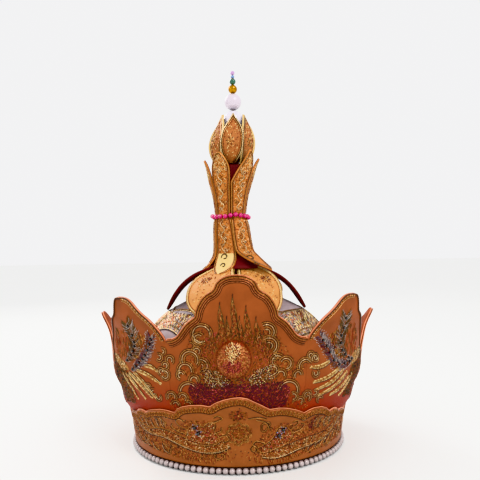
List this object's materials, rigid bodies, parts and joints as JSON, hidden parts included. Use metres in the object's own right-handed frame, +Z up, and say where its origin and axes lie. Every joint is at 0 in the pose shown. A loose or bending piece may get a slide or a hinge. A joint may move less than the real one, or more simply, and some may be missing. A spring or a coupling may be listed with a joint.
{
  "type": "buddhist monk crown",
  "caption": "Ceremonial monk's hat: domed cap, ring of tall scalloped embroidered panels, wavy brim band edged with pearls, and a lotus petal spire with a beaded finial.",
  "frame": {"origin": "on the hat's axis, at the plane of the rim that it stands on", "axes": "+Z up through the spire, -Y towards the front panel with the boss, +X towards the wearer's left"},
  "size_m": [0.2488, 0.256, 0.3433],
  "materials": {
    "cap_satin": "grey-lilac satin, embroidered",
    "panel_satin": "orange-brown satin with couched gold thread",
    "band_satin": "orange satin with couched gold thread",
    "petal_satin": "light orange satin, gold edging",
    "stem_satin": "orange satin, gold edging",
    "core_satin": "dark maroon satin",
    "gold_thread": "padded gold and red thread",
    "pearl": "pearlescent",
    "magenta_bead": "gloss",
    "white_ball": "gloss",
    "gold_bead": "polished gold plate",
    "green_bead": "gloss",
    "blue_bead": "gloss",
    "lilac_bead": "gloss",
    "pin_brass": "drawn wire"
  },
  "bodies": {
    "root": {"cap": "cap_satin", "brim_band": "band_satin", "pearl_string": "pearl", "panel_front": "panel_satin", "panel_front_left": "panel_satin", "panel_front_right": "panel_satin", "panel_left": "panel_satin", "panel_right": "panel_satin", "panel_back_left": "panel_satin", "panel_back_right": "panel_satin", "panel_back": "panel_satin", "boss": "gold_thread", "spire_core": "core_satin", "waist_beads": "magenta_bead", "base_petal_1": "petal_satin", "base_petal_2": "petal_satin", "base_petal_3": "petal_satin", "base_petal_4": "petal_satin", "base_petal_5": "petal_satin", "base_petal_6": "petal_satin", "stem_petal_1": "stem_satin", "stem_petal_2": "stem_satin", "stem_petal_3": "stem_satin", "stem_petal_4": "stem_satin", "stem_petal_5": "stem_satin", "stem_petal_6": "stem_satin", "bud_petal_1": "petal_satin", "bud_petal_2": "petal_satin", "bud_petal_3": "petal_satin", "bud_petal_4": "petal_satin", "bud_petal_5": "petal_satin", "bud_petal_6": "petal_satin", "finial_pin": "pin_brass", "bud_ball": "white_ball", "top_pearl": "pearl", "gold_bead": "gold_bead", "green_bead": "green_bead", "blue_bead": "blue_bead", "lilac_bead": "lilac_bead"}
  },
  "joints": []
}
